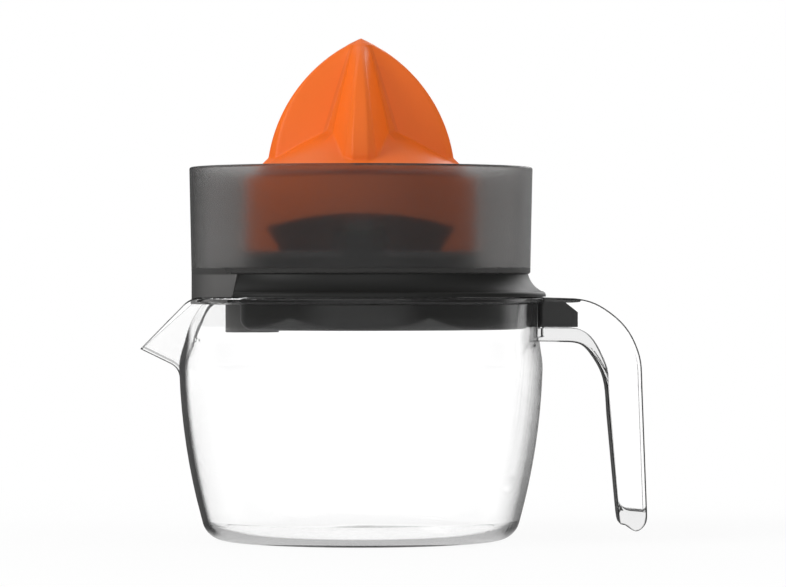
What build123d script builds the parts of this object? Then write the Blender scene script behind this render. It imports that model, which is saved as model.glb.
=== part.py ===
"""Citrus press juicer: clear jug, motor head, smoked bowl, strainer and reamer cone.

The frame has its origin at the centre of the jug's flat base, on the axis that the jug, the
head and the cone share. +Z is up, -X is the spout side and +X is the handle side. All sizes
are millimetres.
"""

import os
from math import acos, asin, cos, degrees, pi, radians, sin, tan

from build123d import *

os.makedirs("parts", exist_ok=True)

# Clearances
RUN = 0.05  # radial, turning or sliding fit
SLIP = 0.10  # per side, hexagon drive
LOOSE = 0.5  # per side, parts that lift apart
MID = (Align.CENTER, Align.CENTER, Align.MIN)
FROM_LEFT = (Align.MIN, Align.CENTER, Align.MIN)

# Jug
JUG_NECK_R, JUG_NECK_Z = 71.3, 81.0
BELLY_SWELL, JUG_BELLY_Z = 1.3, 68.0
FOOT_DRAW, JUG_FOOT_Z = 8.1, 6.6
BASE_DRAW = 16.8
JUG_BELLY_R = JUG_NECK_R + BELLY_SWELL
JUG_FOOT_R = JUG_NECK_R - FOOT_DRAW
JUG_BASE_R = JUG_NECK_R - BASE_DRAW
JUG_WALL = 2.1
JUG_FLOOR = 2.6
RIM_Z = 97.0
BEAD_PROUD, BEAD_WIDTH, BEAD_HEIGHT = 2.2, 3.2, 2.8
BEAD_R = JUG_NECK_R + BEAD_PROUD
JUG_MOUTH_R = JUG_NECK_R - JUG_WALL

# Spout: a V-shaped gutter along a rising keel that bends out of the side, cut by a sloping rim
KEEL_RISE, KEEL_BEND = 26.0, 6.5
KEEL_START_X, KEEL_START_Z = -JUG_BELLY_R + 0.1, 64.2
GUTTER_HALF_ANGLE = 50.0
GUTTER_ROUND = 6.0
GUTTER_DEPTH, GUTTER_LENGTH = 46.0, 36.0
LIP_X, LIP_FALL, LIP_BEND = 5.1 - JUG_NECK_R, 43.6, 11.0

# Handle
GRIP_WIDTH = 24.0
GRIP_WALL = 2.2
GRIP_ROUND = 1.6
ROOT_ROUND = 3.6
CHANNEL_HALF = GRIP_WIDTH / 2 - GRIP_WALL
CHANNEL_FLOOR_Z = 84.4

# Head: tray below the rim, cover above it
HEAD_WALL = 2.0
TRAY_R = JUG_MOUTH_R - LOOSE
TRAY_Z = 84.1
TRAY_FLOOR = TRAY_Z + HEAD_WALL
TRAY_ROUND = 4.8
TRAY_END_X = -46.0
TONGUE_HALF = CHANNEL_HALF - LOOSE
TONGUE_X = JUG_NECK_R + 15.1
COLLAR_OVERHANG = 0.4
COLLAR_R = BEAD_R + COLLAR_OVERHANG
DECK_STEP, DECK_Z = 1.9, 106.0
DECK_R = TRAY_R - DECK_STEP
TURRET_R, ROOF_Z = 42.0, 112.7
ROOF_UNDER = ROOF_Z - HEAD_WALL
COVER_END_TOP, COVER_END_LOW = -47.2, -49.4

# Downspout of the bowl and the notch in the head that it stands in
SPOUT_X = -43.5
SPOUT_DX, SPOUT_DY, SPOUT_ROUND = 21.0, 28.0, 9.5
SPOUT_Z = 82.8
NOTCH_GAP = 1.2

# Bowl
BOWL_WALL = 2.1
BOWL_STEP, BOWL_FLARE = 0.9, 0.9
BOWL_FOOT_R = DECK_R + BOWL_STEP
BOWL_RIM_R = BOWL_FOOT_R + BOWL_FLARE
TROUGH_Z = DECK_Z + 2.6
PLATEAU_UNDER = ROOF_Z + 0.3
PLATEAU_Z = ROOF_Z + 2.3
NECK_BORE_R, NECK_R, NECK_Z = 7.6, 9.4, PLATEAU_Z + 9.0
CHUTE_X, CHUTE_Z = -50.2, 94.8

# Strainer
SKIRT_R = 42.0
CUP_MARGIN = 4.0
CUP_R, CUP_WALL, CUP_DEPTH = SKIRT_R + CUP_MARGIN, 1.6, 12.6
PLATEAU_R = CUP_R + 1.0
SIEVE_RISE, SIEVE_THICK = 15.6, 1.8
SIEVE_Z = PLATEAU_Z + SIEVE_RISE
SIEVE_TOP = SIEVE_Z + SIEVE_THICK
CUP_RIM_Z = SIEVE_TOP + CUP_DEPTH
BOWL_RIM_Z = CUP_RIM_Z + 3.6
SLOT_COUNT, SLOT_WIDTH, SLOT_LENGTH, SLOT_MID_R = 30, 1.8, 26.0, 27.5
HUB_R, HUB_LOW, HUB_TOP = 10.2, SIEVE_Z - 3.1, SIEVE_TOP + 4.6
ARCH_X, ARCH_FOOT_X = 37.0, 30.5
ARCH_SIDE_Z, ARCH_TOP_Z = SIEVE_Z - 6.1, SIEVE_Z - 0.9

# Spindle and cone
PRESS = 1.0  # travel of the cone that starts the motor
SPINDLE_R = 6.0
SPINDLE_LOW, SPINDLE_SEAT = PLATEAU_Z + 2.0, HUB_TOP + PRESS + 4.0
CLIP_Z, CLIP_GROOVE = HUB_LOW - 1.2, 0.9
BUSH_R = 7.95
CONE_HEX = 10.0
CONE_BASE_Z = SPINDLE_SEAT + 10.4
CONE_HEIGHT = 47.8
CONE_TIP_Z = CONE_BASE_Z + CONE_HEIGHT
SKIRT_WIDTH, SKIRT_EDGE = 4.0, 1.0
RAMP_Z, RAMP_FALL, RAMP_R = CONE_BASE_Z + 21.8, 0.6, SKIRT_R - SKIRT_WIDTH
CONE_R = RAMP_R - 1.0
CONE_MID_R, CONE_MID_Z = CONE_R - 11.2, CONE_BASE_Z + 27.2
SKIRT_Z = RAMP_Z - RAMP_FALL * RAMP_R - SKIRT_WIDTH
SKIRT_LOW = SKIRT_Z - SKIRT_EDGE
CONE_WALL = 2.6
HOLLOW_R = RAMP_R - 2.0
HOLLOW_Z = RAMP_Z - CONE_WALL - RAMP_FALL * HOLLOW_R
VALLEY_CORNER, VALLEY_LEAN = CONE_R - 21.0, 0.297

# Drive
MODULE = 1.0
PRESSURE_ANGLE = radians(25)
ADDENDUM, DEDENDUM = 0.8, 1.1
BACKLASH = 0.10  # taken off each tooth at the pitch circle
PINION_TEETH, GEAR_TEETH = 12, 52
MOTOR_X = (PINION_TEETH + GEAR_TEETH) * MODULE / 2
GEAR_Z, GEAR_TOP = 104.0, 108.0
HEX = 7.0
GUIDE_R, GUIDE_BORE_R, GUIDE_TOP = 9.5, 7.5, 103.2
SEPTUM_Z, SEPTUM_TOP = 95.0, 97.0
SHAFT_R, JOURNAL_R = 3.0, 4.2
COLLAR_LOW, COLLAR_TOP = 102.0, 103.4
MOTOR_R, MOTOR_Z, MOTOR_TOP = 22.0, 87.0, 101.0
SHEET = 0.8
PLATE_TOP = MOTOR_TOP + 1.2
EAR_Y = 28.0
ROTOR_SHAFT_R = 1.5
MAGNET_R, MAGNET_BORE_R = 12.2, 8.0
SPRING_MEAN_R, SPRING_WIRE, SPRING_TURNS = 5.0, 0.8, 3.0
GUIDE_LUG_Y = 14.0
BOSS_R, BOSS_JOIN_Z, SCREW_R = 3.6, 90.0, 1.45
SCREW_INSET, SCREW_ANGLES = 10.7, (47.7, -47.7, 122.0, -122.0)
HOUSING_SCREWS = [
    ((TRAY_R - SCREW_INSET) * cos(radians(turn)), (TRAY_R - SCREW_INSET) * sin(radians(turn)))
    for turn in SCREW_ANGLES
]

# Mains entry, at the back of the collar
CORD_R, CORD_Z, GROMMET_R, GROMMET_Y = 2.55, 101.3, 3.6, TRAY_R - 0.1
TERMINAL_Y = GROMMET_Y - 16.6


def beside(x, z):
    """Returns the point at height z that lies x outside the side of the jug's neck."""
    return (JUG_NECK_R + x, z)


def jug_section(inset, floor):
    """Returns the half section of the jug's body, its side moved inward by inset and its floor raised."""
    with BuildSketch() as section:
        with BuildLine():
            base = Line((0, floor), (JUG_BASE_R - inset / 2, floor))
            foot = TangentArc(base @ 1, (JUG_FOOT_R - inset, JUG_FOOT_Z + inset * 0.9), tangent=(1, 0))
            side = TangentArc(foot @ 1, (JUG_BELLY_R - inset, JUG_BELLY_Z), tangent=foot % 1)
            neck = Spline(side @ 1, (JUG_NECK_R - inset, JUG_NECK_Z), tangents=(side % 1, (0, 1)))
            Polyline(neck @ 1, (JUG_NECK_R - inset, RIM_Z), (0, RIM_Z), (0, floor))
        make_face()
    return section.sketch


def gutter_section(inset):
    """Returns the spout's rounded V across its keel, moved inward by inset."""
    half = radians(GUTTER_HALF_ANGLE)
    low = inset / sin(half) - GUTTER_ROUND * (1 / sin(half) - 1)
    side = (GUTTER_DEPTH - low) * tan(half)
    with BuildSketch() as section:
        with BuildLine():
            Polyline((0, low), (side, GUTTER_DEPTH), (-side, GUTTER_DEPTH), close=True)
        make_face()
        fillet(section.vertices().sort_by(Axis.Y)[0], GUTTER_ROUND - inset)
    return section.sketch


def gear_outline(teeth, phase):
    """Returns the outline of a spur gear with involute flanks and a tooth at the phase angle."""
    pitch_r = MODULE * teeth / 2
    base_r = pitch_r * cos(PRESSURE_ANGLE)
    tip_r = pitch_r + ADDENDUM * MODULE
    root_r = pitch_r - DEDENDUM * MODULE
    involute = tan(PRESSURE_ANGLE) - PRESSURE_ANGLE
    half_pitch = (pi * MODULE / 2 - BACKLASH) / (2 * pitch_r) + involute

    def flank(radius, angle, side):
        roll = acos(min(1, base_r / radius))
        turn = angle + side * (half_pitch - (tan(roll) - roll))
        return (radius * cos(turn), radius * sin(turn))

    start_r = max(base_r, root_r)
    radii = [start_r + (tip_r - start_r) * step / 4 for step in range(5)]
    scale = root_r / start_r
    with BuildSketch() as section:
        with BuildLine():
            for tooth in range(teeth):
                angle = phase + 2 * pi * tooth / teeth
                rising = [flank(radius, angle, -1) for radius in radii]
                falling = [flank(radius, angle, 1) for radius in reversed(radii)]
                following = flank(start_r, angle + 2 * pi / teeth, -1)
                foot = (rising[0][0] * scale, rising[0][1] * scale)
                heel = (falling[-1][0] * scale, falling[-1][1] * scale)
                if root_r < start_r:
                    Line(foot, rising[0])
                    Line(falling[-1], heel)
                Spline(*rising)
                Line(rising[-1], falling[0])
                Spline(*falling)
                Line(heel, (following[0] * scale, following[1] * scale))
        make_face()
    return section.sketch


def notch_outline(grow):
    """Draws the downspout's outline, grown on every side."""
    with Locations((SPOUT_X, 0)):
        RectangleRounded(SPOUT_DX + 2 * grow, SPOUT_DY + 2 * grow, SPOUT_ROUND + grow)


def tray_outline(inset):
    """Draws the tray in plan, a disc cut straight on the spout side, moved inward by inset."""
    Circle(TRAY_R - inset)
    with Locations((TRAY_END_X + inset, 0)):
        Rectangle(2 * TRAY_R, 2 * TRAY_R, align=(Align.MIN, Align.CENTER), mode=Mode.INTERSECT)


def valley_section(z, pull, rounding):
    """Returns the plan of one valley between two fins at height z, whose faces close in by pull."""
    corner = VALLEY_CORNER - VALLEY_LEAN * (z - CONE_BASE_Z)
    reach = 40.0
    with BuildSketch() as section:
        with BuildLine():
            Polyline(
                (corner, corner),
                (corner + reach, corner - pull * reach),
                (70, 70),
                (corner - pull * reach, corner + reach),
                close=True,
            )
        make_face()
        fillet(section.vertices().sort_by_distance((0, 0, 0))[0], rounding)
    return section.sketch


# Jug
keel_turn = 90 - KEEL_RISE
keel_axis = Axis((KEEL_START_X - KEEL_BEND, 0, KEEL_START_Z), (0, 1, 0))
keel_end = (
    KEEL_START_X - KEEL_BEND * (1 - cos(radians(keel_turn))),
    0,
    KEEL_START_Z + KEEL_BEND * sin(radians(keel_turn)),
)
keel_way = (-cos(radians(KEEL_RISE)), 0, sin(radians(KEEL_RISE)))
gutter_plane = Plane(origin=keel_end, x_dir=(0, -1, 0), z_dir=keel_way)

with BuildPart() as grip:
    with BuildSketch(Plane.XZ):
        with BuildLine():
            top = Line((JUG_MOUTH_R - 1, 96.8), beside(14.7, 96.2))
            shoulder = [beside(27.9, 90.8), beside(35.1, 83.6), beside(39.5, 74.0), beside(40.7, 60.0)]
            bend = Spline(top @ 1, *shoulder, tangents=((1, -0.08), (0.03, -1)))
            back = Line(bend @ 1, beside(42.5, 12.0))
            end = [beside(41.3, 5.8), beside(38.0, 3.7), beside(33.9, 6.0), beside(30.6, 14.0)]
            tip = Spline(back @ 1, *end, tangents=((0.02, -1), (-0.07, 1)))
            front = Line(tip @ 1, beside(27.3, 50.0))
            crook = [beside(24.9, 66.8), beside(20.7, 74.0), beside(11.5, 78.9)]
            hook = Spline(front @ 1, *crook, tangents=((-0.07, 1), (-1, 0.05)))
            Polyline(hook @ 1, (JUG_MOUTH_R - 1, 79.2), top @ 0)
        make_face()
    extrude(amount=GRIP_WIDTH / 2, both=True)
    fillet(faces().sort_by(Axis.Y)[0].edges() + faces().sort_by(Axis.Y)[-1].edges(), GRIP_ROUND)

root_y = GRIP_WIDTH / 2 + ROOT_ROUND
root_angle = asin(root_y / (JUG_NECK_R + ROOT_ROUND))
root_mid = ((JUG_NECK_R + ROOT_ROUND) * cos(root_angle), root_y)
root_turn = degrees(root_angle) + 180

with BuildPart() as jug:
    for inset, floor, mode in ((0, 0, Mode.ADD), (JUG_WALL, JUG_FLOOR, Mode.SUBTRACT)):
        with BuildSketch(Plane.XZ):
            add(jug_section(inset, floor))
        revolve(axis=Axis.Z, mode=mode)
        with BuildSketch(gutter_plane):
            add(gutter_section(inset))
        extrude(amount=GUTTER_LENGTH, mode=mode)
        with BuildSketch(gutter_plane):
            add(gutter_section(inset))
        revolve(axis=keel_axis, revolution_arc=keel_turn - 4, mode=mode)
        if mode is Mode.ADD:
            with BuildSketch(Plane.XZ):
                with Locations((BEAD_R - BEAD_WIDTH / 2, RIM_Z - BEAD_HEIGHT / 2)):
                    RectangleRounded(BEAD_WIDTH, BEAD_HEIGHT, 0.9)
            revolve(axis=Axis.Z)
            add(grip.part)
            with BuildSketch(Plane.XY.offset(JUG_NECK_Z)):
                with BuildLine():
                    root = CenterArc(root_mid, ROOT_ROUND, root_turn, 270 - root_turn)
                    Polyline(root @ 1, (JUG_NECK_R - 1, GRIP_WIDTH / 2 - 1), root @ 0)
                make_face()
                mirror(about=Plane.XZ)
            extrude(amount=RIM_Z - BEAD_HEIGHT / 2 - JUG_NECK_Z)
    with BuildSketch(Plane.XZ):
        lip_fall = radians(LIP_FALL)
        lip_reach = LIP_BEND * tan(lip_fall / 2)
        lip_low = (LIP_X - lip_reach * cos(lip_fall), RIM_Z - lip_reach * sin(lip_fall))
        with BuildLine():
            lip = TangentArc((LIP_X + lip_reach, RIM_Z), lip_low, tangent=(-1, 0))
            slope = Line(lip @ 1, (LIP_X - 60, RIM_Z - 60 * tan(lip_fall)))
            Polyline(slope @ 1, (LIP_X - 60, RIM_Z + 60), (150, RIM_Z + 60), (150, RIM_Z), lip @ 0)
        make_face()
    extrude(amount=150, both=True, mode=Mode.SUBTRACT)
    with BuildSketch(Plane.XZ):
        with BuildLine():
            floor = Line(beside(-11.3, CHANNEL_FLOOR_Z), beside(12.3, CHANNEL_FLOOR_Z))
            curve = [beside(20.3, 80.8), beside(25.3, 72.0), beside(27.7, 58.0)]
            web = Spline(floor @ 1, *curve, tangents=((1, -0.05), (0.06, -1)))
            run = Line(web @ 1, beside(31.1, 18.0))
            toe = Spline(run @ 1, beside(32.1, 14.0), beside(35.7, 11.8), tangents=((0.08, -1), (1, -0.15)))
            outside = [beside(53.7, 10.2), beside(53.7, 120.0), beside(-11.3, 120.0)]
            Polyline(toe @ 1, *outside, floor @ 0)
        make_face()
    extrude(amount=CHANNEL_HALF, both=True, mode=Mode.SUBTRACT)

# Tray with the tongue
with BuildPart() as tray_room:
    with BuildSketch(Plane.XY.offset(TRAY_FLOOR)):
        tray_outline(HEAD_WALL)
    extrude(amount=30)
    fillet(edges().filter_by(Axis.Z), TRAY_ROUND - 0.8)
    fillet(edges().group_by(Axis.Z)[0], TRAY_ROUND - HEAD_WALL)
    with BuildSketch(Plane.XY.offset(TRAY_FLOOR - 5)):
        notch_outline(NOTCH_GAP + HEAD_WALL)
    extrude(amount=60, mode=Mode.SUBTRACT)

with BuildPart() as base_tray:
    with BuildSketch(Plane.XY.offset(TRAY_Z)):
        tray_outline(0)
    extrude(amount=RIM_Z - TRAY_Z)
    fillet(edges().filter_by(Axis.Z), TRAY_ROUND + 1.2)
    fillet(edges().group_by(Axis.Z)[0], TRAY_ROUND)
    with BuildSketch(Plane.XZ):
        with BuildLine():
            low = Line(beside(-7.3, 84.9), (TONGUE_X, 84.9))
            hooked = [(TONGUE_X, 90.8), beside(10.2, 94.6), beside(15.7, 94.6), beside(16.9, 95.0)]
            over = [beside(8.7, 96.3), beside(-7.3, 96.4)]
            Polyline(low @ 1, *hooked, *over, low @ 0)
        make_face()
    extrude(amount=TONGUE_HALF, both=True)
    chamfer(edges().filter_by(Axis.Z).filter_by_position(Axis.X, TONGUE_X - 0.1, TONGUE_X + 0.1), 2.4)
    with BuildSketch(Plane.XY.offset(TRAY_Z - 5)):
        notch_outline(NOTCH_GAP)
    extrude(amount=60, mode=Mode.SUBTRACT)
    add(tray_room.part, mode=Mode.SUBTRACT)
    with Locations((JUG_NECK_R - 11.3, 0, 84.9 + HEAD_WALL)):
        inside = 2 * (TONGUE_HALF - HEAD_WALL)
        Box(24.0, inside, 7.4 - HEAD_WALL, align=FROM_LEFT, mode=Mode.SUBTRACT)
    with Locations(*[(x, y, TRAY_FLOOR - 0.5) for x, y in HOUSING_SCREWS]):
        Cylinder(BOSS_R, BOSS_JOIN_Z - TRAY_FLOOR + 0.5, align=MID)
    with Locations(*[(x, y, TRAY_Z - 1) for x, y in HOUSING_SCREWS]):
        Cylinder(SCREW_R + 0.15, 12, align=MID, mode=Mode.SUBTRACT)
        Cylinder(3.1, 3.7, align=MID, mode=Mode.SUBTRACT)
    with Locations((MOTOR_X, EAR_Y, TRAY_FLOOR - 0.5), (MOTOR_X, -EAR_Y, TRAY_FLOOR - 0.5)):
        Cylinder(3.4, MOTOR_TOP - TRAY_FLOOR + 0.5, align=MID)
    with Locations((MOTOR_X, EAR_Y, 92.0), (MOTOR_X, -EAR_Y, 92.0)):
        Cylinder(SCREW_R + RUN, 12, align=MID, mode=Mode.SUBTRACT)
    with Locations((0, GUIDE_LUG_Y, TRAY_FLOOR - 0.5), (0, -GUIDE_LUG_Y, TRAY_FLOOR - 0.5)):
        Cylinder(2.8, 3.4, align=MID)
    with Locations((0, GUIDE_LUG_Y, TRAY_FLOOR - 0.9), (0, -GUIDE_LUG_Y, TRAY_FLOOR - 0.9)):
        Cylinder(1.0 + RUN, 8, align=MID, mode=Mode.SUBTRACT)

# Cover with collar, deck and turret
with BuildPart() as cover_room:
    with BuildSketch(Plane.XZ):
        with BuildLine():
            ledge = TRAY_R - 2.2
            bore = TURRET_R - HEAD_WALL
            under = DECK_Z - HEAD_WALL
            Polyline((0, RIM_Z - 3), (ledge, RIM_Z - 3), (ledge, 99.0), (DECK_R - HEAD_WALL, under))
            Polyline((DECK_R - HEAD_WALL, under), (bore, under), (bore, ROOF_UNDER), (0, ROOF_UNDER))
            Line((0, ROOF_UNDER), (0, RIM_Z - 3))
        make_face()
    revolve(axis=Axis.Z)
    with Locations((COVER_END_TOP + HEAD_WALL, 0, 80)):
        Box(60, 200, 60, align=(Align.MAX, Align.CENTER, Align.MIN), mode=Mode.SUBTRACT)
    with BuildSketch(Plane.XY.offset(80)):
        notch_outline(NOTCH_GAP + HEAD_WALL)
    extrude(amount=60, mode=Mode.SUBTRACT)

with BuildPart() as drive_cover:
    with BuildSketch(Plane.XZ):
        with BuildLine():
            Polyline((0, RIM_Z), (COLLAR_R, RIM_Z), (COLLAR_R, 97.6))
            lip = ThreePointArc((COLLAR_R, 97.6), (COLLAR_R - 0.55, 98.75), (COLLAR_R - 1.7, 99.2))
            ThreePointArc(lip @ 1, (DECK_R + 1.8, 102.2), (DECK_R, DECK_Z))
            Polyline((DECK_R, DECK_Z), (TURRET_R, DECK_Z), (TURRET_R, ROOF_Z), (0, ROOF_Z), (0, RIM_Z))
        make_face()
    revolve(axis=Axis.Z)
    fillet(edges().filter_by(GeomType.CIRCLE).group_by(Axis.Z)[-1], 1.4)
    with BuildSketch(Plane.XZ):
        with BuildLine():
            Polyline((COVER_END_TOP, DECK_Z + 10), (COVER_END_TOP, DECK_Z), (COVER_END_LOW, RIM_Z - 1))
            outside = [(-90.0, RIM_Z - 1), (-90.0, DECK_Z + 10)]
            Polyline((COVER_END_LOW, RIM_Z - 1), *outside, (COVER_END_TOP, DECK_Z + 10))
        make_face()
    extrude(amount=90, both=True, mode=Mode.SUBTRACT)
    with BuildSketch(Plane.XY.offset(80)):
        notch_outline(NOTCH_GAP)
    extrude(amount=60, mode=Mode.SUBTRACT)
    add(cover_room.part, mode=Mode.SUBTRACT)
    with Locations((0, 0, ROOF_Z - 10)):
        Cylinder(6.3, 20, align=MID, mode=Mode.SUBTRACT)
    with Locations(*[(x, y, BOSS_JOIN_Z) for x, y in HOUSING_SCREWS]):
        Cylinder(BOSS_R, DECK_Z - 1 - BOSS_JOIN_Z, align=MID)
    with Locations(*[(x, y, BOSS_JOIN_Z - 1) for x, y in HOUSING_SCREWS]):
        Cylinder(SCREW_R + RUN, 11.5, align=MID, mode=Mode.SUBTRACT)
    with BuildSketch(Plane.XZ.offset(8.6 - GROMMET_Y)):
        with Locations((0, CORD_Z)):
            Circle(GROMMET_R)
    extrude(amount=-20, mode=Mode.SUBTRACT)
    with BuildSketch(Plane.XZ.offset(-GROMMET_Y)):
        with Locations((0, CORD_Z)):
            Circle(GROMMET_R + 0.8)
    extrude(amount=-20, mode=Mode.SUBTRACT)

with BuildPart() as cord_grommet:
    with BuildSketch(Plane.XZ.offset(-(GROMMET_Y - 3.4))):
        with Locations((0, CORD_Z)):
            Circle(GROMMET_R - 0.03)
    extrude(amount=-4.4)
    with BuildSketch(Plane.XZ.offset(-GROMMET_Y)):
        with Locations((0, CORD_Z)):
            Circle(GROMMET_R + 0.6)
    extrude(amount=-1.6)
    with BuildSketch(Plane.XZ.offset(-(GROMMET_Y - 10))):
        with Locations((0, CORD_Z)):
            Circle(CORD_R)
    extrude(amount=-20, mode=Mode.SUBTRACT)

with BuildPart() as terminal_block:
    with Locations((0, TERMINAL_Y, TRAY_FLOOR)):
        Box(17.0, 9.0, 9.0, align=MID)
    chamfer(edges().group_by(Axis.Z)[-1], 0.6)
    with BuildSketch(Plane.XZ.offset(12 - TERMINAL_Y)):
        with Locations((-4.2, TRAY_FLOOR + 3.4), (4.2, TRAY_FLOOR + 3.4)):
            Circle(1.5)
    extrude(amount=-20, mode=Mode.SUBTRACT)
    with Locations((-4.2, TERMINAL_Y, TRAY_FLOOR + 4), (4.2, TERMINAL_Y, TRAY_FLOOR + 4)):
        Cylinder(1.7, 10, align=MID, mode=Mode.SUBTRACT)

# Motor
with BuildPart() as motor_pad:
    with BuildSketch(Plane.XY.offset(TRAY_FLOOR)):
        with Locations((MOTOR_X, 0)):
            Circle(MOTOR_R - 1)
            Circle(MOTOR_R - 8, mode=Mode.SUBTRACT)
    extrude(amount=MOTOR_Z - TRAY_FLOOR)

with BuildPart() as motor_can:
    with Locations((MOTOR_X, 0, MOTOR_Z)):
        Cylinder(MOTOR_R, MOTOR_TOP - MOTOR_Z, align=MID)
    fillet(edges().group_by(Axis.Z)[0], 1.2)
    with Locations((MOTOR_X, 0, MOTOR_Z + SHEET)):
        Cylinder(MOTOR_R - SHEET, 20, align=MID, mode=Mode.SUBTRACT)
    with Locations((MOTOR_X, 0, MOTOR_Z - 1)):
        Cylinder(3.0, 20, align=MID, mode=Mode.SUBTRACT)

with BuildPart() as motor_plate:
    with BuildSketch(Plane.XY.offset(MOTOR_TOP)):
        with Locations((MOTOR_X, 0)):
            Circle(MOTOR_R)
            Rectangle(8.4, 2 * EAR_Y)
        with Locations((MOTOR_X, EAR_Y), (MOTOR_X, -EAR_Y)):
            Circle(4.2)
            Circle(SCREW_R + 0.2, mode=Mode.SUBTRACT)
        with Locations((MOTOR_X, 0)):
            Circle(4.0, mode=Mode.SUBTRACT)
    extrude(amount=PLATE_TOP - MOTOR_TOP)

with BuildPart() as coil_bobbin:
    with BuildSketch(Plane.XZ):
        with BuildLine():
            Polyline((13.6, 87.9), (20.9, 87.9), (20.9, 88.7), (14.4, 88.7), (14.4, 99.9), (20.9, 99.9))
            Polyline((20.9, 99.9), (20.9, 100.7), (13.6, 100.7), (13.6, 87.9))
        make_face()
    revolve(axis=Axis.Z)
    coil_bobbin.part = coil_bobbin.part.moved(Location((MOTOR_X, 0, 0)))

with BuildPart() as coil_winding:
    with Locations((MOTOR_X, 0, 88.7)):
        Cylinder(20.2, 11.2, align=MID)
        Cylinder(14.4, 11.2, align=MID, mode=Mode.SUBTRACT)

with BuildPart() as pole_ring:
    with Locations((MOTOR_X, 0, MOTOR_Z + SHEET)):
        Cylinder(13.5, 12.9, align=MID)
        Cylinder(12.6, 12.9, align=MID, mode=Mode.SUBTRACT)
    with Locations((MOTOR_X, 0, 89.6)):
        with PolarLocations(13.0, 12):
            Box(4, 1.6, 20, align=MID, mode=Mode.SUBTRACT)

with BuildPart() as lower_bearing:
    with Locations((MOTOR_X, 0, MOTOR_Z - 0.4)):
        Cylinder(3.0 - 0.02, 1.2, align=MID)
    with Locations((MOTOR_X, 0, MOTOR_Z + SHEET)):
        Cylinder(4.0, 1.0, align=MID)
    with Locations((MOTOR_X, 0, MOTOR_Z - 1)):
        Cylinder(ROTOR_SHAFT_R + RUN, 6, align=MID, mode=Mode.SUBTRACT)

with BuildPart() as upper_bearing:
    with Locations((MOTOR_X, 0, MOTOR_TOP - 0.6)):
        Cylinder(4.0 - 0.02, 2.2, align=MID)
    with Locations((MOTOR_X, 0, PLATE_TOP)):
        Cylinder(5.0, 0.8, align=MID)
    with Locations((MOTOR_X, 0, MOTOR_TOP - 2)):
        Cylinder(ROTOR_SHAFT_R + RUN, 8, align=MID, mode=Mode.SUBTRACT)

with BuildPart() as rotor_shaft:
    with Locations((MOTOR_X, 0, 86.9)):
        Cylinder(ROTOR_SHAFT_R, 22.3, align=MID)
    chamfer(edges().filter_by(GeomType.CIRCLE), 0.3)

with BuildPart() as rotor_hub:
    with Locations((MOTOR_X, 0, 89.1)):
        Cylinder(MAGNET_BORE_R - 0.02, 11.0, align=MID)
        Cylinder(ROTOR_SHAFT_R + 0.01, 11.0, align=MID, mode=Mode.SUBTRACT)

with BuildPart() as rotor_magnet:
    with Locations((MOTOR_X, 0, 89.4)):
        Cylinder(MAGNET_R, 10.4, align=MID)
        Cylinder(MAGNET_BORE_R, 10.4, align=MID, mode=Mode.SUBTRACT)

with BuildPart() as rotor_pinion:
    with BuildSketch(Plane.XY.offset(GEAR_Z - 0.6)):
        add(gear_outline(PINION_TEETH, pi / PINION_TEETH))
        Circle(ROTOR_SHAFT_R + 0.01, mode=Mode.SUBTRACT)
    extrude(amount=GEAR_TOP - GEAR_Z + 1.2)
    rotor_pinion.part = rotor_pinion.part.moved(Location((MOTOR_X, 0, 0)))

with BuildPart() as motor_screws:
    with Locations((MOTOR_X, EAR_Y, PLATE_TOP), (MOTOR_X, -EAR_Y, PLATE_TOP)):
        Cylinder(2.8, 1.6, align=MID)
    fillet(edges().group_by(Axis.Z)[-1], 0.8)
    with Locations((MOTOR_X, EAR_Y, PLATE_TOP - 9), (MOTOR_X, -EAR_Y, PLATE_TOP - 9)):
        Cylinder(SCREW_R, 9.2, align=MID)
    with Locations((MOTOR_X, EAR_Y, PLATE_TOP + 0.9), (MOTOR_X, -EAR_Y, PLATE_TOP + 0.9)):
        Box(3.0, 0.7, 2, align=MID, mode=Mode.SUBTRACT)
        Box(0.7, 3.0, 2, align=MID, mode=Mode.SUBTRACT)

# Gear, shaft and press switch
with BuildPart() as output_gear:
    with BuildSketch(Plane.XY.offset(GEAR_Z)):
        add(gear_outline(GEAR_TEETH, 0))
    extrude(amount=GEAR_TOP - GEAR_Z)
    with Locations((0, 0, GEAR_Z - 1), (0, 0, GEAR_TOP - 1)):
        Cylinder(22.5, 2, align=MID, mode=Mode.SUBTRACT)
    with Locations((0, 0, GUIDE_TOP + 0.5)):
        Cylinder(9.2, 4.9, align=MID)
    with BuildSketch(Plane.XY.offset(90)):
        RegularPolygon(HEX / 2 + SLIP, 6, major_radius=False)
    extrude(amount=30, mode=Mode.SUBTRACT)

with BuildPart() as thrust_washer:
    with Locations((0, 0, GUIDE_TOP)):
        Cylinder(GUIDE_R - 0.2, 0.5, align=MID)
        Cylinder(GUIDE_BORE_R, 0.5, align=MID, mode=Mode.SUBTRACT)

with BuildPart() as drive_shaft:
    with Locations((0, 0, 93.9)):
        Cylinder(SHAFT_R, 10, align=MID)
    with Locations((0, 0, COLLAR_LOW)):
        Cylinder(6.2, COLLAR_TOP - COLLAR_LOW, align=MID)
    with BuildSketch(Plane.XY.offset(COLLAR_TOP - 0.2)):
        RegularPolygon(HEX / 2, 6, major_radius=False)
    extrude(until=None, amount=131.3 - COLLAR_TOP + 0.2)
    with Locations((0, 0, 109.8)):
        Cylinder(JOURNAL_R, 5.2, align=MID)
    chamfer(faces().sort_by(Axis.Z)[-1].edges(), 0.6)

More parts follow.
